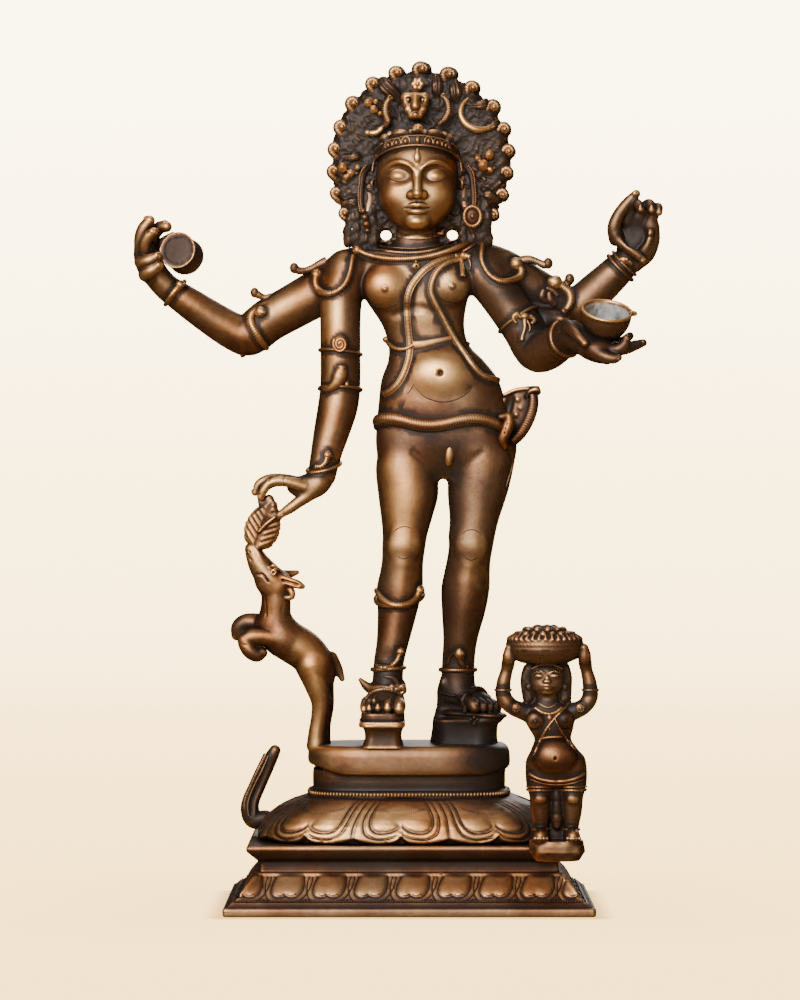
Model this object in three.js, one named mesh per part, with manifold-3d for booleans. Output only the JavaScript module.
// Shiva as the wandering mendicant: a cast bronze figure with four arms, standing in sandals on a
// lotus pedestal, feeding a leaping deer. The pedestal sits on a rectangular base, and a dwarf
// attendant with a bowl of offerings stands on a ledge at the base's right front corner.
// Millimetres. +Z is up, the figure faces -Y, and the origin is the middle of the base's underside.
import * as THREE from "three";
import { mergeVertices } from "three/addons/utils/BufferGeometryUtils.js";
import Module from "manifold-3d";

const wasm = await Module();
wasm.setup();

// Driving dimensions of the rectangular base, from the floor up
const PLATE_WIDTH = 181;
const PLATE_DEPTH = 130;
const PLATE_HEIGHT = 6;
const PLATE_LIP = 4.5; // the plate stands this far proud of the petal moulding above it
const MOULDING_HEIGHT = 13;
const MOULDING_RUN = 11; // how far the petal moulding slopes in
const THROAT_HEIGHT = 10;
const THROAT_INSET = 2; // the throat stands this far inside the moulding's top edge
const SHELF_HEIGHT = 4.5;
const SHELF_LIP = 6.5; // the shelf stands this far proud of the throat
const MOULDING_PETAL_PITCH = 19;
const MOULDING_PETAL_RELIEF = 1.6;

// Driving dimensions of the lotus pedestal, which rests on the shelf
const SEAT_GAP = 0.3; // between pieces that rest on each other
const LOTUS_WIDTH = 154;
const LOTUS_DEPTH = 103;
const LOTUS_HEIGHT = 21.5;
const LOTUS_PETALS = 10;
const LOTUS_PETAL_RELIEF = 3;
const BEAD_RING_WIDTH = 101;
const BEAD_RING_DEPTH = 68;
const BEAD_RING_HEIGHT = 3.2;
const NECK_WIDTH = 96;
const NECK_DEPTH = 59;
const NECK_HEIGHT = 7.5;
const TOP_WIDTH = 101;
const TOP_DEPTH = 65;
const TOP_HEIGHT = 14.6;
const LUG_HEIGHT = 39;
const LUG_WIDTH = 9;
const LUG_Y = 12;

// The figure and the attendant keep their proportions, as shares of their own heights
const FIGURE_HEIGHT = 341; // soles of the sandals to the top of the hair
const BOWL_RADIUS = 12;
const BOWL_WALL = 1.5;
const BOWL_LEAN = 28; // degrees that the bowl leans towards the viewer
const DRUM_RADIUS = 8.8;
const DRUM_LENGTH = 16;
const EAR_GAP_RADIUS = 3; // the round gap between neck, hair and shoulder on each side
const DWARF_HEIGHT = 105; // ledge to the top of the offerings
const LEDGE_WIDTH = 28;
const LEDGE_DEPTH = 26;
const LEDGE_HEIGHT = 10;
const LEDGE_RISE = 3; // the ledge's top is this far above the shelf
const LEDGE_OVERHANG = 6.2; // the ledge sticks out this far past the shelf's end

// Bangles and coils on the limbs
const BAND_WIDTH = 3;
const BAND_PROUD = 1.3;

// Facets round a section
const LIMB_SIDES = 7;
const FINGER_SIDES = 4;
const SNAKE_SIDES = 3;
const PLAN_SIDES = 22;
const POINTS_PER_PETAL = 4;
const POINTS_PER_LOCK = 3;

const BRONZE = new THREE.MeshStandardMaterial({ color: 0x8f6238, roughness: 0.36, metalness: 0.95 });
const DARK_BRONZE = new THREE.MeshStandardMaterial({ color: 0x6e4a2c, roughness: 0.45, metalness: 0.9 });

// Levels, worked out from the heights above
const mouldingFloor = PLATE_HEIGHT;
const throatFloor = mouldingFloor + MOULDING_HEIGHT;
const shelfFloor = throatFloor + THROAT_HEIGHT;
const shelfTop = shelfFloor + SHELF_HEIGHT;
const lotusFloor = shelfTop + SEAT_GAP;
const beadFloor = lotusFloor + LOTUS_HEIGHT;
const neckFloor = beadFloor + BEAD_RING_HEIGHT;
const topFloor = neckFloor + NECK_HEIGHT;
const standing = topFloor + TOP_HEIGHT;

// Half sizes of the base, from the plate inwards
const plateX = PLATE_WIDTH / 2;
const plateY = PLATE_DEPTH / 2;
const mouldingX = plateX - PLATE_LIP;
const mouldingY = plateY - PLATE_LIP;
const throatX = mouldingX - MOULDING_RUN - THROAT_INSET;
const throatY = mouldingY - MOULDING_RUN - THROAT_INSET;
const shelfX = throatX + SHELF_LIP;
const shelfY = throatY + SHELF_LIP;

// The pose is drawn on a figure whose soles are at 79 and whose hair ends at 420
const POSE_SOLES = 79;
const POSE_HEIGHT = 341;
const u = FIGURE_HEIGHT / POSE_HEIGHT;
const posed = (x, y, z) => new THREE.Vector3(x * u, y * u, standing + (z - POSE_SOLES) * u);

// A closed skin over rings that all have as many points, with both ends capped
function skin(rings) {
  const n = rings[0].length;
  const position = rings.flat().flatMap((p) => [p.x, p.y, p.z]);
  const index = [];
  for (let i = 0; i + 1 < rings.length; i++) {
    for (let j = 0; j < n; j++) {
      const a = i * n + j;
      const b = i * n + ((j + 1) % n);
      index.push(a, b, b + n, a, b + n, a + n);
    }
  }
  const last = (rings.length - 1) * n;
  for (let j = 1; j + 1 < n; j++) {
    index.push(0, j + 1, j, last, last + j, last + j + 1);
  }
  const geometry = new THREE.BufferGeometry();
  geometry.setAttribute("position", new THREE.Float32BufferAttribute(position, 3));
  geometry.setIndex(index);
  return geometry;
}

// A three.js geometry as a solid, whichever way its faces were wound
function solid(geometry) {
  const bare = geometry.clone();
  bare.deleteAttribute("normal");
  bare.deleteAttribute("uv");
  const merged = mergeVertices(bare, 1e-4);
  const triVerts = new Uint32Array(merged.index.array);
  const vertProperties = new Float32Array(merged.attributes.position.array);
  const made = new wasm.Manifold(new wasm.Mesh({ numProp: 3, vertProperties, triVerts }));
  if (made.volume() > 0) return made;
  for (let i = 0; i < triVerts.length; i += 3) {
    [triVerts[i + 1], triVerts[i + 2]] = [triVerts[i + 2], triVerts[i + 1]];
  }
  return new wasm.Manifold(new wasm.Mesh({ numProp: 3, vertProperties, triVerts }));
}

const joined = (solids) => solids.reduce((all, one) => all.add(one));

function meshOf(made, name, material) {
  const { vertProperties, triVerts } = made.getMesh();
  const geometry = new THREE.BufferGeometry();
  geometry.setAttribute("position", new THREE.BufferAttribute(vertProperties, 3));
  geometry.setIndex(new THREE.BufferAttribute(triVerts, 1));
  const mesh = new THREE.Mesh(geometry, material);
  mesh.name = name;
  return mesh;
}

// A level ring of a superellipse: power 2 is an ellipse, larger is squarer
function levelRing(place, halfX, halfY, sides, power = 2) {
  const bulge = (v) => Math.sign(v) * Math.abs(v) ** (2 / power);
  return Array.from({ length: sides }, (_, i) => {
    const a = ((i + 0.5) / sides) * 2 * Math.PI;
    return new THREE.Vector3(place.x + halfX * bulge(Math.cos(a)), place.y + halfY * bulge(Math.sin(a)), place.z);
  });
}

// A trunk or leg: level rings [z, x, y, half width, half depth] in pose units
const column = (rows, sides = LIMB_SIDES, power = 2.2) =>
  solid(skin(rows.map(([z, x, y, w, d]) => levelRing(posed(x, y, z), w * u, d * u, sides, power))));

// Points [x, y, z, radius] in a frame given by place, smoothed by a curve. Each band is a place on
// the curve, counted in points, where a bangle or a coil stands proud of the limb.
function smoothed(points, bands, place, unit) {
  const centres = points.map(([x, y, z]) => place(x, y, z));
  const curve = new THREE.CatmullRomCurve3(centres, false, "centripetal");
  const spans = points.length - 1;
  const stationAt = (at, proud) => {
    const k = Math.min(Math.floor(at), spans - 1);
    const f = at - k;
    return {
      at,
      centre: curve.getPoint(at / spans),
      tangent: curve.getTangent(at / spans),
      radius: (points[k][3] * (1 - f) + points[k + 1][3] * f + proud) * unit,
    };
  };
  const stepsOf = (at) => {
    const k = Math.min(Math.floor(at), spans - 1);
    const half = (BAND_WIDTH * unit) / 2 / centres[k].distanceTo(centres[k + 1]);
    const foot = half * 1.05;
    return [[at - foot, 0], [at - half, BAND_PROUD], [at + half, BAND_PROUD], [at + foot, 0]];
  };
  const plain = points.map((_, i) => [i, 0]);
  const steps = [...plain, ...bands.flatMap(stepsOf)].sort((a, b) => a[0] - b[0]);
  return steps.map(([at, proud]) => stationAt(at, proud));
}

// A round or flattened limb through points [x, y, z, radius]; flat is its depth over its width.
// Only the far end is rounded off, because the near end lies inside what the limb grows from.
function limb(points, options = {}) {
  const { sides = LIMB_SIDES, bands = [], flat = 1, flatAxis = new THREE.Vector3(0, 1, 0) } = options;
  const { place = posed, unit = u, rounded = true } = options;
  const stations = smoothed(points, bands, place, unit);
  const ringAt = ({ centre, tangent, radius }, share, along) => {
    const thin = flatAxis.clone().addScaledVector(tangent, -flatAxis.dot(tangent)).normalize();
    const wide = new THREE.Vector3().crossVectors(tangent, thin).normalize();
    const middle = centre.clone().addScaledVector(tangent, along * radius);
    return Array.from({ length: sides }, (_, i) => {
      const a = ((i + 0.5) / sides) * 2 * Math.PI;
      return middle
        .clone()
        .addScaledVector(wide, Math.cos(a) * radius * share)
        .addScaledVector(thin, Math.sin(a) * radius * share * flat);
    });
  };
  const END_SHARE = 0.55;
  const END_REACH = 0.6;
  const rings = stations.map((s) => ringAt(s, 1, 0));
  if (rounded) rings.push(ringAt(stations.at(-1), END_SHARE, END_REACH));
  return solid(skin(rings));
}

const finger = (points, options) => limb(points, { sides: FINGER_SIDES, rounded: false, ...options });
const snake = (points, options) => limb(points, { sides: SNAKE_SIDES, rounded: false, ...options });

// An ellipsoid with half sizes in pose units, turned by degrees about X, Y and Z
function ball(x, y, z, rx, ry, rz, options = {}) {
  const { wide = 7, high = 4, turn = [0, 0, 0], place = posed, unit = u } = options;
  const centre = place(x, y, z);
  const geometry = new THREE.SphereGeometry(1, wide, high)
    .rotateX(Math.PI / 2)
    .scale(rx * unit, ry * unit, rz * unit);
  const [ax, ay, az] = turn.map(THREE.MathUtils.degToRad);
  return solid(geometry.rotateX(ax).rotateY(ay).rotateZ(az).translate(centre.x, centre.y, centre.z));
}

const block = (x, y, z, sx, sy, sz, taper = 1) => {
  const low = posed(x, y, z);
  const ring = (height, share) =>
    [[1, 1], [-1, 1], [-1, -1], [1, -1]].map(
      ([a, b]) => new THREE.Vector3(low.x + (a * sx * share * u) / 2, low.y + (b * sy * share * u) / 2, low.z + height),
    );
  return solid(skin([ring(0, 1), ring(sz * u, taper)]));
};

// Section: trunk, legs, feet

const TRUNK = [
  [335, 4, 0, 9.5, 9.5],
  [327, 4, 1, 11.5, 10],
  [323, 4, 1, 22, 10.5],
  [316, 4, 0.5, 29, 13],
  [301, 4, 0, 25.5, 13.5],
  [287, 7, 0, 20.5, 11.5],
  [278, 9.8, 0, 20.3, 11],
  [270, 14, 0, 24.6, 12.5],
  [260, 15.5, -1, 28.8, 14.5],
  [246, 16.2, -1, 31.2, 15.5],
  [226, 18, 0, 33.5, 15],
  [217, 18.5, 0.5, 27, 12],
  [211, 18, 0.5, 12, 8],
];
const RIGHT_LEG = [
  [228, -0.6, -0.5, 14, 14],
  [206, -0.8, -2, 14.4, 14],
  [191, -1.3, -3, 12.4, 12.4],
  [177, -2.6, -4, 10.9, 11.6],
  [167, -3.6, -3, 10.6, 10.6],
  [156, -4.8, -2, 11.5, 11.6],
  [143, -6, -2.5, 9.9, 10.2],
  [129, -8, -4.6, 8.1, 8.6],
  [119.1, -9.7, -5.6, 7.8, 8.2],
  [119, -9.7, -5.6, 9.1, 9.4],
  [116, -10.3, -6, 9.1, 9.4],
  [115.9, -10.3, -6, 7.8, 8.2],
  [95, -11.5, -8, 8.6, 10],
];
const LEFT_LEG = [
  [228, 36.4, 0.2, 15.6, 14.2],
  [206, 35, 0, 14, 13.6],
  [191, 32.8, -1, 12.2, 12.4],
  [177, 30.8, -1.4, 11.1, 11.6],
  [167, 29.7, 0, 11, 10.6],
  [156, 28.4, 1.5, 12, 11.6],
  [143, 27.6, 2, 10.6, 10.6],
  [129, 25.9, 3.2, 8.5, 8.8],
  [118.1, 24.8, 3.9, 8.4, 8.3],
  [118, 24.8, 3.9, 9.7, 9.5],
  [115, 24.6, 4, 9.7, 9.5],
  [114.9, 24.6, 4, 8.4, 8.2],
  [95, 24.7, 4, 9.8, 8.8],
];

function toes(start, step, reach, count) {
  return Array.from({ length: count }, (_, i) => {
    const [x, y, z] = start.map((v, k) => v + step[k] * i);
    const size = i === 0 ? 3 : 2.4;
    const [tipX, tipY, tipZ] = [x + reach[0], y + reach[1], z + reach[2]];
    return finger([[x, y, z, size], [tipX, tipY, tipZ, size * 0.7]]);
  });
}

function rightFoot() {
  const level = new THREE.Vector3(0, 0, 1);
  return [
    limb([[-11, 1, 99, 6.5], [-11.5, -12, 101.5, 9], [-12.4, -26, 98.5, 9.6]], { flat: 0.62, flatAxis: level }),
    ...toes([-5.6, -28, 97.6], [-3.7, 0.8, -0.1], [0.2, -9, -1.2], 5),
    snake([[-25, -10, 111, 1.6], [-16, -16, 105.5, 2.8], [-4.5, -12, 108, 2.2]]),
    block(-12.8, -15, 89.5, 22, 45, 5.5),
    block(-12.6, -13, POSE_SOLES - 0.5, 18, 36, 10.5, 0.94),
  ];
}

function leftFoot() {
  const level = new THREE.Vector3(0, 0, 1);
  return [
    limb([[19, 6, 99, 7.5], [29, 2.5, 101.5, 8.4], [38, -1, 98.5, 8]], { flat: 0.62, flatAxis: level }),
    ...toes([39.5, -7, 97.2], [0.5, 2.9, -0.1], [7.5, -2.2, -1.8], 5),
    limb([[13, 7, 92, 9], [22, 5, 92, 11.5], [43, -2, 92, 9.5]], { flat: 0.3, flatAxis: level }),
    limb([[13, 6, 84.5, 10], [20, 5, 84.5, 11], [36, 1, 84.5, 10.5]], { flat: 0.62, flatAxis: level }),
  ];
}

function trunkAndLegs() {
  return [
    column(TRUNK, 12, 2.4),
    column(RIGHT_LEG, 8),
    column(LEFT_LEG, 8),
    ball(-11.5, -8, 305, 12, 8, 11, { wide: 6 }),
    ball(20.5, -8, 306, 10.5, 7.5, 10.5, { wide: 6 }),
    ball(15, -10, 261, 16, 8, 12, { wide: 8 }),
    ball(-2.5, -12, 178, 7, 4.5, 6.5, { wide: 5, high: 3 }),
    ball(30.5, -9.5, 177, 6.5, 4.5, 6.5, { wide: 5, high: 3 }),
    finger([[20, -13, 228, 2.4], [20, -15.5, 219, 2.6]]),
    ...rightFoot(),
    ...leftFoot(),
  ];
}

// Section: arms and hands

const RIGHT_REAR_ARM = [
  [-27, 5, 315, 11],
  [-48, 8, 303, 11.8],
  [-70, 11, 291.5, 11.4],
  [-82, 12, 284, 10.2],
  [-98, 9.5, 291, 8.8],
  [-111, 6, 299.3, 7.8],
  [-120, 4, 305.5, 6.6],
];
const RIGHT_FRONT_ARM = [
  [-33, -1, 313, 11],
  [-34.2, -4, 297, 10.4],
  [-34, -7, 275, 10.1],
  [-34.4, -8, 257, 10],
  [-37.2, -11, 240, 9.6],
  [-41, -15, 224, 7.8],
  [-43.6, -17, 212, 6.8],
];
const LEFT_REAR_ARM = [
  [38, 4, 319, 11],
  [54, 7, 310, 11.5],
  [70, 10, 301, 11],
  [83, 12, 296, 10.2],
  [94, 9.5, 305, 9.4],
  [103, 7, 314, 8.4],
  [110, 5, 321, 7],
];
const LEFT_FRONT_ARM = [
  [38, -1, 314, 11],
  [47, -4, 301, 10.7],
  [56.5, -6, 285.5, 10.4],
  [64, -8, 274.5, 10.6],
  [71, -20, 276.5, 9.8],
  [76.5, -30, 280, 8],
  [80, -37, 281.5, 6.6],
];

function rightFrontHand() {
  return [
    limb([[-43, -17, 212, 6.6], [-50, -17.5, 207, 6.4], [-57, -17, 206.5, 4.6]], { sides: 6 }),
    finger([[-54, -22, 207.3, 3.2], [-64, -23, 209.2, 2.7], [-71.5, -23, 207.8, 2.4], [-74, -23, 202.5, 1.8]]),
    finger([[-54, -18, 208.5, 3.2], [-70, -18.5, 209.8, 2.6], [-75.5, -18.5, 204, 1.8]]),
    finger([[-53, -13.5, 208, 3], [-69, -14, 209.6, 2.4], [-75, -14, 205, 1.7]]),
    finger([[-52, -10.5, 206.5, 2.8], [-66, -10, 208.4, 2.2], [-71, -10, 205.5, 1.6]]),
    finger([[-46, -19, 205.5, 4], [-54, -20, 200, 3], [-63.5, -20, 194, 2.2]]),
  ];
}

function rightRearHand() {
  return [
    limb([[-119, 4, 304.5, 6.2], [-126.5, 1.5, 312, 6.4], [-131, 0.5, 320, 6.4], [-132.5, 0.5, 326, 4.8]], { sides: 6 }),
    finger([[-134, -1, 325, 3.2], [-135.6, -2, 333, 2.8], [-129.5, -4, 341.3, 2]]),
    finger([[-131, -4, 323, 3.2], [-131.8, -7, 331, 2.6], [-127.5, -8.5, 337, 1.9]]),
    finger([[-130, 4, 327, 3.2], [-127, 5.5, 336, 2.7], [-120.3, 2.5, 338, 2]]),
    finger([[-129, 5, 321, 3.2], [-123, 8, 331, 2.6], [-117.5, 8, 333, 1.9]]),
    finger([[-134, -1, 323, 3.4], [-132, -8, 322, 2.8], [-122, -10.5, 325, 1.9]]),
    finger([[-129, 0, 312.5, 3.6], [-131.5, -7, 316, 2.8], [-122, -9, 320.5, 2]]),
  ];
}

function leftRearHand() {
  return [
    limb([[109, 5, 320, 6.8], [112, 4, 328, 8.6], [114, 3, 338, 8.8], [114.5, 2, 342, 7]], {
      flat: 0.5,
      sides: 6,
      rounded: false,
    }),
    finger([[104, -1, 332, 3.6], [104.6, -2, 341, 3.2], [114.2, -4.5, 353.6, 2]]),
    finger([[110.5, 1, 340, 3.2], [113.2, -2, 348.4, 2.6], [115.5, -8.5, 345, 1.8]]),
    finger([[116, 1, 340, 3.2], [119, -2, 348, 2.6], [120.4, -8, 344, 1.8]]),
    finger([[121, 0, 338, 3], [124.6, -2, 345.8, 2.4], [125, -7.5, 342.5, 1.7]]),
    finger([[113, 2, 321, 4.4], [120, -3, 326, 3.6], [121, -6, 335, 2]]),
    finger([[103.5, 1, 327, 4.4], [103, -2, 335, 3.2], [114, -4, 324, 1.8]]),
  ];
}

function leftFrontHand() {
  return [
    limb([[80, -37, 281.5, 6.6], [86, -42, 279, 6.8], [93, -46, 276.5, 6.2], [99, -47, 275.5, 4.6]], { sides: 6 }),
    finger([[94, -50, 275, 3.4], [102.5, -54, 271.5, 2.2]]),
    finger([[97, -48, 275, 3.2], [109, -50.5, 279, 2.1]]),
    finger([[97, -44, 275, 3.2], [114, -42, 276.3, 2.1]]),
    finger([[96, -40, 275.5, 3], [110, -36.5, 279.5, 2]]),
    finger([[80, -41, 284, 4], [82.5, -49, 284, 3.2], [86.5, -54, 281, 2.2]]),
  ];
}

const BOWL_PLACE = [96, -46, 293];

function bowlTurned(geometry) {
  const centre = posed(...BOWL_PLACE);
  return solid(geometry.rotateX(Math.PI / 2 + THREE.MathUtils.degToRad(BOWL_LEAN)).translate(centre.x, centre.y, centre.z));
}

// A round bowl whose rim lies at the origin's level, open upwards
function bowlShape(radius, lift) {
  const STEPS = 5;
  const profile = [new THREE.Vector2(0, -radius)];
  for (let i = 1; i <= STEPS; i++) {
    const a = (i / STEPS) * (Math.PI / 2);
    profile.push(new THREE.Vector2(radius * Math.sin(a), -radius * Math.cos(a)));
  }
  if (lift > 0) profile.push(new THREE.Vector2(radius, lift));
  profile.push(new THREE.Vector2(0, lift));
  return new THREE.LatheGeometry(profile, 14);
}

function drum() {
  const half = DRUM_LENGTH / 2;
  const waist = DRUM_RADIUS * 0.55;
  const profile = [
    [0, -half],
    [DRUM_RADIUS, -half],
    [DRUM_RADIUS, -half * 0.72],
    [waist, 0],
    [DRUM_RADIUS, half * 0.72],
    [DRUM_RADIUS, half],
    [0, half],
  ].map(([r, h]) => new THREE.Vector2(r, h));
  const centre = posed(-113.5, -3, 323.5);
  const DRUM_YAW = THREE.MathUtils.degToRad(-14);
  return solid(new THREE.LatheGeometry(profile, 14).rotateZ(DRUM_YAW).translate(centre.x, centre.y, centre.z));
}

function arms() {
  return [
    limb(RIGHT_REAR_ARM, { bands: [2.5] }),
    limb(RIGHT_FRONT_ARM, { bands: [2.12, 3.08, 5.7] }),
    limb(LEFT_REAR_ARM, { bands: [5.6] }),
    limb(LEFT_FRONT_ARM, { bands: [5.4] }),
    ...rightFrontHand(),
    ...rightRearHand(),
    ...leftRearHand(),
    ...leftFrontHand(),
    drum(),
    bowlTurned(bowlShape(BOWL_RADIUS, 0)),
  ];
}

// Section: head, hair and crown

const HAIR_CENTRE = [6.5, 7, 372.5];
const HAIR_RADIUS = 47.5;
const HAIR_LOCKS = 20;
const LOCK_DEPTH = 3.4; // how deep the gaps between the curled ends are
const HAIR_FALL = 0.22; // how much longer the locks are that fall on the shoulders

// The hair stands out round the head as a disc of locks, each with a curled end that swells
function hair() {
  const [cx, cy, cz] = HAIR_CENTRE;
  const sides = HAIR_LOCKS * POINTS_PER_LOCK;
  // Each row: share of the radius, how far forward, and how much of the lock's relief shows
  const rows = [
    [0.35, -12, 0],
    [0.92, -9.5, 1],
    [1, -1, 1],
    [0.86, 8, 0.8],
    [0.4, 11, 0],
  ];
  const ringAt = ([share, forward, relief]) =>
    Array.from({ length: sides }, (_, i) => {
      const a = (i / sides) * 2 * Math.PI;
      const crest = Math.abs(Math.cos((HAIR_LOCKS * a) / 2));
      const fall = 1 + HAIR_FALL * Math.max(0, -Math.sin(a)) ** 2;
      const radius = HAIR_RADIUS * share * fall - LOCK_DEPTH * relief * (1 - crest);
      const y = cy + forward * (1 - 0.35 * relief * (1 - crest));
      return posed(cx + radius * Math.cos(a), y, cz + radius * Math.sin(a));
    });
  return [solid(skin(rows.map(ringAt)))];
}

function face() {
  return [
    ball(4, -4, 359, 20.5, 19, 25, { wide: 12, high: 8 }),
    ball(4, -11, 345, 15, 11, 11, { wide: 9, high: 5 }),
    finger([[4, -21.5, 365, 2], [4, -24.5, 353, 4]]),
    ball(-5, -19, 363.5, 6, 3, 2.6, { wide: 6, high: 4 }),
    ball(13, -19, 363.5, 6, 3, 2.6, { wide: 6, high: 4 }),
    ball(4, -20.5, 346.3, 6.2, 2.8, 2.8, { wide: 6, high: 4 }),
    snake([[-21, -2, 366, 2.8], [-22.6, -3, 355, 2.4], [-20.5, -4, 342, 3]], { sides: 5 }),
    snake([[29.5, -2, 366, 2.8], [32.4, -3, 355, 2.4], [31.8, -4, 344, 2.4]], { sides: 5 }),
    ball(32, -4, 341, 5.5, 3, 5.5),
    ball(-20.5, -4, 338.5, 4, 3, 6),
  ];
}

function crown() {
  const STEPS = 6;
  const diadem = Array.from({ length: STEPS + 1 }, (_, i) => {
    const a = Math.PI * (i / STEPS);
    return [4 - 19 * Math.cos(a), 1 - 17 * Math.sin(a), 375 + 4 * Math.sin(a), 4.4];
  });
  // What is set in the hair is placed from the middle of the hair, and goes where it goes
  const [cx, cy, cz] = HAIR_CENTRE;
  const inHair = (points) => snake(points.map(([x, y, z, r]) => [cx + x, cy + y, cz + z, r]));
  return [
    snake(diadem),
    ball(4, -14, 384, 5, 5, 5, { wide: 6, high: 3 }),
    ball(cx - 3, cy - 14, cz + 25.5, 7, 8, 8),
    inHair([[-17.5, -11, 11.5, 3.2], [-18, -14, 20.5, 3.6], [-16, -14, 29.5, 2.2]]),
    inHair([[12.5, -11, 11.5, 3.2], [13, -14, 20.5, 3.6], [11, -14, 30.5, 2.2]]),
    inHair([[19.5, -11, 29.5, 2.2], [20.5, -13, 18.5, 3.4], [26.5, -13, 13.5, 3.4], [34.5, -11, 12.5, 2.2]]),
    inHair([[-22.5, -11, 23.5, 2.2], [-24, -13, 13.5, 3.2], [-34.5, -11, 8.5, 2.2]]),
    inHair([[-3, -12, 31.5, 5], [-3, -13, 39.5, 3]]),
  ];
}

function earGap(x) {
  const centre = posed(x, 0, 333);
  const LONG = 80;
  const bore = new THREE.CylinderGeometry(EAR_GAP_RADIUS, EAR_GAP_RADIUS, LONG, 8);
  return solid(bore.translate(centre.x, centre.y, centre.z));
}

// Section: snakes and other ornaments

function jewels() {
  return [
    snake([[-25, -5, 326, 3], [-13, -11, 321, 2.8], [4, -14, 319.5, 2.8], [20, -12, 322.5, 2.8], [31, -5, 329, 2.8]]),
    snake([[24, -10, 321, 2], [6, -14, 311, 2.2], [0.5, -13.5, 299, 2.2], [0, -12, 283, 2.2], [-13, -6, 253, 2]]),
    snake([[26, -10, 322, 2.6], [13, -14.5, 314, 2.8], [11, -14.5, 302, 2.8], [21, -11.5, 283, 2.6], [33, -12, 265.5, 2.6], [46, -3, 259.5, 2.4]]),
    snake([[-11, -3, 281, 2.6], [-5, -8.5, 277.2, 2.6], [6, -11, 277, 2.6], [17, -9.5, 280.4, 2.6], [27.5, -3, 281, 2]]),
    snake(
      [[-18, 2, 238, 3.8], [-16.5, -8, 239, 4], [-6, -13.5, 241.4, 4], [10, -15.5, 238.5, 3.8], [28, -14, 240.6, 3.8], [40, -10, 239.5, 3.8], [50, -4, 236, 3]],
      { sides: 4 },
    ),
    snake([[47, -9, 239, 2.8], [47, -11, 232, 3], [52, -6, 224, 2.8], [52, -3, 213, 1.6]]),
    limb([[49, 0, 234, 5], [53, -2, 236, 6], [58, -3, 245, 8], [62, -5, 254.5, 4.5]], { flat: 0.45, rounded: false }),
  ];
}

function armSnakes() {
  const knob = { wide: 5, high: 3 };
  return [
    snake([[-29, -8, 323, 2.4], [-30, -10, 311, 3], [-38, -12, 304, 3], [-45.5, -9, 309, 3], [-45, -8, 315, 2.6]]),
    snake([[37, -8, 329, 2.4], [37, -10, 317, 3], [45, -12, 310, 3], [54.5, -10, 313, 3.4], [53.5, -9, 319, 3.2]]),
    snake([[-42, 3, 317.5, 4], [-57.5, 1, 316, 2]]),
    snake([[-63, 8, 302, 4], [-78, 7, 303.5, 2.2]]),
    snake([[56, 2, 317, 4.4], [70.5, 1, 318.3, 2.4]]),
    snake([[76, 10, 303, 4], [81.5, 10, 311.5, 2.6]]),
    ball(-76, 1.5, 294, 3, 4, 4, knob),
    ball(-34.4, -16.8, 277.8, 3.8, 3, 4.2, knob),
    ball(-34, -17.2, 264.5, 3.6, 3.4, 5.4, knob),
    snake([[52, -13, 290, 3], [57.5, -15, 291, 3.4], [56, -15, 280, 2]]),
    snake([[72, 1, 311, 3.4], [79, 1, 303, 3.4], [78, 1, 293, 2.4]]),
  ];
}

function legSnakes() {
  return [
    snake([[-16, 2, 156, 2.8], [-17, -5, 154.5, 3.2], [-9, -13, 149, 3.2], [1, -12, 151.5, 3.2], [5.5, -8, 157.5, 3]]),
    snake([[-10, -13.5, 117.5, 2.6], [-4, -12, 126.5, 2.6]]),
    ball(25.8, -4.5, 120.5, 3, 3, 4.8, { wide: 5, high: 3 }),
  ];
}

// Section: deer and leaf

function leaf() {
  return [
    limb([[-68.5, -20, 199, 3.4], [-70, -20, 193, 6], [-71.5, -19.5, 186, 9], [-73.5, -19, 180, 7.6], [-77.5, -18, 176.5, 3]], { sides: 8, flat: 0.3 }),
    finger([[-73, -21, 204, 2], [-73, -20, 196, 2.4]]),
    finger([[-63.5, -20, 195, 2], [-66, -20, 191, 2.4]]),
  ];
}

function deer() {
  const hind = -45 / u;
  return [
    limb([[-67, -14, 136, 9], [-60, -13, 130.5, 10.4], [-51, -12, 125, 10], [-44.5, -11, 116, 8.4]]),
    limb([[-63, -14, 132, 9.4], [-66, -15, 144, 7.8], [-65.5, -16, 154, 7.4], [-69, -17, 162, 7.2], [-74, -17.5, 169.5, 5.2], [-77.5, -18, 175, 3.6]]),
    finger([[-64, -19, 160, 3.2], [-53, -22, 157.5, 2]]),
    finger([[-64, -14, 160, 3.2], [-54, -10, 163, 1.8]]),
    finger([[-65, -18, 131, 5], [-76, -19, 132, 3.6], [-83, -19.5, 130, 3.4], [-82, -20, 124, 3.2], [-75.5, -20, 122, 3]]),
    finger([[-69, -10, 136.5, 5], [-79, -9.5, 141, 3.6], [-86, -9, 139, 3.4], [-87, -9, 132, 2.8]]),
    limb([[-49, -14, 117, 7.6], [-45.5, -14.5, 107, 6], [-43.5, -14, 98, 4.6], [-45.5, -13.5, 87, 4.2], [hind, -13, POSE_SOLES - 4, 5]], { rounded: false }),
    limb([[-42, -8, 116, 6], [-39, -6, 107, 4], [-38, -4, 97, 3.6], [-42, -4, POSE_SOLES - 2, 4]], { sides: 6, rounded: false }),
    finger([[-38, -11, 120, 2.8], [-33, -11, 110, 1.6]]),
  ];
}

// Section: lotus pedestal

const levelAt = (z) => new THREE.Vector3(0, 0, z);
const planRing = (z, w, d, power) => levelRing(levelAt(z), w / 2, d / 2, PLAN_SIDES, power);

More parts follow.
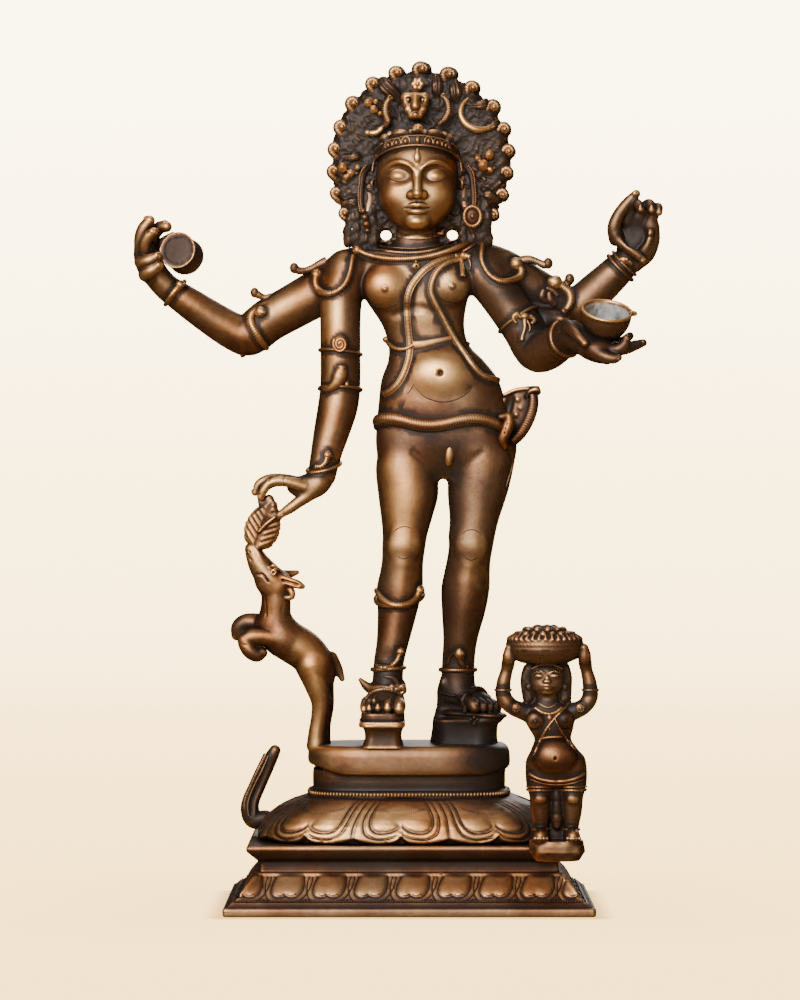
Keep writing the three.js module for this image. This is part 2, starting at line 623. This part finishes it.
// The lotus cushion swells between the petals' edges, and its petals curl out at the bottom
function lotusCushion() {
  const sides = LOTUS_PETALS * POINTS_PER_PETAL;
  const spread = [LOTUS_WIDTH - BEAD_RING_WIDTH, LOTUS_DEPTH - BEAD_RING_DEPTH];
  // Each row: share of the height, share of the spread, share of the petals' relief
  const rows = [
    [0, 0.95, 0.6],
    [0.16, 1, 1],
    [0.46, 0.88, 1],
    [0.74, 0.6, 0.8],
    [0.93, 0.24, 0.4],
    [1, 0.02, 0],
  ];
  return rows.map(([height, share, relief]) => {
    const ring = levelRing(
      levelAt(lotusFloor + LOTUS_HEIGHT * height),
      (BEAD_RING_WIDTH + spread[0] * share) / 2,
      (BEAD_RING_DEPTH + spread[1] * share) / 2,
      sides,
      3,
    );
    return ring.map((point, i) => {
      const across = Math.abs(Math.sin((Math.PI * (i + 0.5)) / POINTS_PER_PETAL));
      const inwards = LOTUS_PETAL_RELIEF * relief * (1 - across ** 0.6);
      const level = new THREE.Vector3(point.x, point.y, 0).normalize();
      return point.addScaledVector(level, -inwards);
    });
  });
}

function pedestal() {
  const shoulder = 2.2;
  const drumPower = 3.2;
  return [
    solid(skin(lotusCushion())),
    solid(
      skin([
        planRing(beadFloor - 1, BEAD_RING_WIDTH - 2, BEAD_RING_DEPTH - 2, drumPower),
        planRing(beadFloor + BEAD_RING_HEIGHT * 0.5, BEAD_RING_WIDTH, BEAD_RING_DEPTH, drumPower),
        planRing(neckFloor, BEAD_RING_WIDTH - 2, BEAD_RING_DEPTH - 2, drumPower),
      ]),
    ),
    solid(
      skin([
        planRing(neckFloor - 1, NECK_WIDTH, NECK_DEPTH, drumPower),
        planRing(topFloor, NECK_WIDTH, NECK_DEPTH, drumPower),
        planRing(topFloor, TOP_WIDTH - 2 * shoulder, TOP_DEPTH - 2 * shoulder, drumPower),
        planRing(topFloor + TOP_HEIGHT * 0.3, TOP_WIDTH, TOP_DEPTH, drumPower),
        planRing(topFloor + TOP_HEIGHT * 0.7, TOP_WIDTH, TOP_DEPTH, drumPower),
        planRing(standing, TOP_WIDTH - 2 * shoulder, TOP_DEPTH - 2 * shoulder, drumPower),
      ]),
    ),
  ];
}

// A curved lug that once steadied an aureole
function lug(side) {
  const reach = LOTUS_WIDTH / 2;
  const foot = lotusFloor + LOTUS_HEIGHT * 0.3;
  const place = (x, y, z) => new THREE.Vector3(side * x, y, z);
  return limb(
    [
      [reach - 5, LUG_Y, foot, LUG_WIDTH / 2],
      [reach + 3, LUG_Y, foot + LUG_HEIGHT * 0.1, LUG_WIDTH / 2],
      [reach + 0.5, LUG_Y, foot + LUG_HEIGHT * 0.36, LUG_WIDTH / 2],
      [reach - 11, LUG_Y, foot + LUG_HEIGHT * 0.95, LUG_WIDTH / 2.4],
    ],
    { place, unit: 1, sides: 6 },
  );
}

// Section: rectangular base

const rectangle = (z, x, y) =>
  [[1, 1], [-1, 1], [-1, -1], [1, -1]].map(([a, b]) => new THREE.Vector3(a * x, b * y, z));

function mouldingPetals() {
  const slope = Math.atan2(MOULDING_RUN, MOULDING_HEIGHT);
  const midX = mouldingX - MOULDING_RUN / 2;
  const midY = mouldingY - MOULDING_RUN / 2;
  const row = (length, distance, quarter) => {
    const count = Math.max(1, Math.floor((length - MOULDING_PETAL_PITCH * 0.3) / MOULDING_PETAL_PITCH));
    return Array.from({ length: count }, (_, i) => {
      const petal = new THREE.SphereGeometry(1, 6, 2)
        .scale(MOULDING_PETAL_PITCH * 0.47, MOULDING_PETAL_RELIEF, MOULDING_HEIGHT * 0.62)
        .rotateX(-slope)
        .translate((i - (count - 1) / 2) * MOULDING_PETAL_PITCH, -distance, mouldingFloor + MOULDING_HEIGHT * 0.52);
      return solid(petal.rotateZ((quarter * Math.PI) / 2));
    });
  };
  return [
    ...row(2 * midX, midY, 0),
    ...row(2 * midY, midX, 1),
    ...row(2 * midX, midY, 2),
    ...row(2 * midY, midX, 3),
  ];
}

function rectangularBase() {
  const rings = [
    rectangle(0, plateX, plateY),
    rectangle(PLATE_HEIGHT, plateX, plateY),
    rectangle(PLATE_HEIGHT, mouldingX, mouldingY),
    rectangle(mouldingFloor + MOULDING_HEIGHT * 0.2, mouldingX, mouldingY),
    rectangle(throatFloor, mouldingX - MOULDING_RUN, mouldingY - MOULDING_RUN),
    rectangle(throatFloor, throatX, throatY),
    rectangle(shelfFloor, throatX, throatY),
    rectangle(shelfFloor, shelfX, shelfY),
    rectangle(shelfTop, shelfX, shelfY),
  ];
  return joined([solid(skin(rings)), ...mouldingPetals()]);
}

// Section: dwarf attendant, in a frame whose origin is on the ledge between the feet

const DWARF_POSE_HEIGHT = 105;
const d = DWARF_HEIGHT / DWARF_POSE_HEIGHT;
const dwarfX = shelfX + LEDGE_OVERHANG - LEDGE_WIDTH / 2;
const dwarfY = -(shelfY + SEAT_GAP + LEDGE_DEPTH / 2 - 17);
const ledgeTop = shelfTop + LEDGE_RISE;
const DWARF_SWAY = 4.8; // how far the chest and head lean towards the figure
const onLedge = (x, y, z) => {
  const sway = DWARF_SWAY * THREE.MathUtils.smoothstep(z, 32, 74);
  return new THREE.Vector3(dwarfX + (x - sway) * d, dwarfY + y * d, ledgeTop + z * d);
};
const small = { place: onLedge, unit: d };
const UP = new THREE.Vector3(0, 0, 1);

function dwarfArm(side) {
  const options = { ...small, sides: 6 };
  const elbow = [side * 20.5, -1, 69, 4.2];
  return [
    limb([[side * 7, 1, 59, 4.6], [side * 15.5, -1, 64, 4.3], elbow, [side * 18.5, -1, 86, 3.2]], options),
    ball(side * 18.5, -2, 88, 2.8, 3.8, 4.6, { ...small, wide: 5, high: 3 }),
  ];
}

function dwarfLeg(side) {
  return [
    limb([[side * 8, 0, 36, 7.4], [side * 7.8, -0.5, 24, 6.2], [side * 7.2, 1, 6, 4], [side * 7.2, 0, 0, 4.4]], {
      ...small,
      sides: 6,
      rounded: false,
    }),
    finger([[side * 7.4, 0, 1.8, 4.4], [side * 7.8, -10, 1.4, 3.8]], { ...small, flat: 0.7, flatAxis: UP }),
  ];
}

function dwarfBody() {
  const rows = [
    [70, 6, 5.5],
    [65, 7.5, 6],
    [62, 13.5, 7],
    [55, 11.4, 7.5],
    [50, 9.2, 7],
    [41, 12.8, 8.8],
    [34, 14, 9],
    [28, 11.6, 7],
  ];
  const rings = rows.map(([z, w, t]) => levelRing(onLedge(0, 0, z), w * d, t * d, 8));
  return [
    solid(skin(rings)),
    ball(1.5, -6.5, 39.5, 10.5, 8, 9, small),
    ball(-7.2, -5, 59, 4.4, 4, 4.2, { ...small, wide: 6, high: 3 }),
    ball(7.2, -5, 59, 4.4, 4, 4.2, { ...small, wide: 6, high: 3 }),
    ball(0, 0, 76.5, 8.2, 8.2, 9, { ...small, wide: 8, high: 5 }),
    ball(0, 2.5, 74.5, 11.6, 6, 8.6, { ...small, wide: 6 }),
    ball(0, -8, 75, 1.8, 2.2, 2.8, { ...small, wide: 5, high: 3 }),
  ];
}

function offeringBowl() {
  const profile = [
    [0, 83.5],
    [11, 84.5],
    [17.6, 89.5],
    [19.4, 96.5],
    [12, 102],
    [0, 105],
  ].map(([r, h]) => new THREE.Vector2(r * d, h * d));
  const centre = onLedge(-1, -1, 0);
  return solid(new THREE.LatheGeometry(profile, 12).scale(1, 1, 0.72).rotateX(Math.PI / 2).translate(centre.x, centre.y, centre.z));
}

function attendant() {
  const ledge = (z, share) =>
    levelRing(new THREE.Vector3(dwarfX, dwarfY, z), (LEDGE_WIDTH / 2) * share, (LEDGE_DEPTH / 2) * share, 10, 3);
  const ledgeFloor = ledgeTop - LEDGE_HEIGHT;
  const slab = solid(skin([ledge(ledgeFloor, 0.8), ledge(ledgeFloor + LEDGE_HEIGHT * 0.4, 1), ledge(ledgeTop, 0.94)]));
  return joined([slab, ...dwarfLeg(-1), ...dwarfLeg(1), ...dwarfBody(), ...dwarfArm(-1), ...dwarfArm(1), offeringBowl()]);
}

// The shelf's room, grown by the seat gap, that the attendant's ledge leaves free
function shelfRoom() {
  const x = shelfX + SEAT_GAP;
  const y = shelfY + SEAT_GAP;
  return solid(skin([rectangle(shelfFloor - THROAT_HEIGHT, x, y), rectangle(shelfTop + SEAT_GAP, x, y)]));
}

function shiva() {
  const hollow = bowlTurned(bowlShape(BOWL_RADIUS - BOWL_WALL, BOWL_RADIUS));
  const body = joined([
    ...trunkAndLegs(),
    ...arms(),
    ...face(),
    ...hair(),
    ...crown(),
    ...jewels(),
    ...armSnakes(),
    ...legSnakes(),
    ...leaf(),
    ...deer(),
    ...pedestal(),
    lug(-1),
    lug(1),
  ]);
  return body.subtract(hollow).subtract(earGap(-11.5)).subtract(earGap(21.8));
}

const statue = new THREE.Group();
statue.add(meshOf(shiva(), "shiva_on_lotus", BRONZE));
statue.add(meshOf(rectangularBase(), "rectangular_base", DARK_BRONZE));
statue.add(meshOf(attendant().subtract(shelfRoom()), "dwarf_attendant", BRONZE));

export default statue;
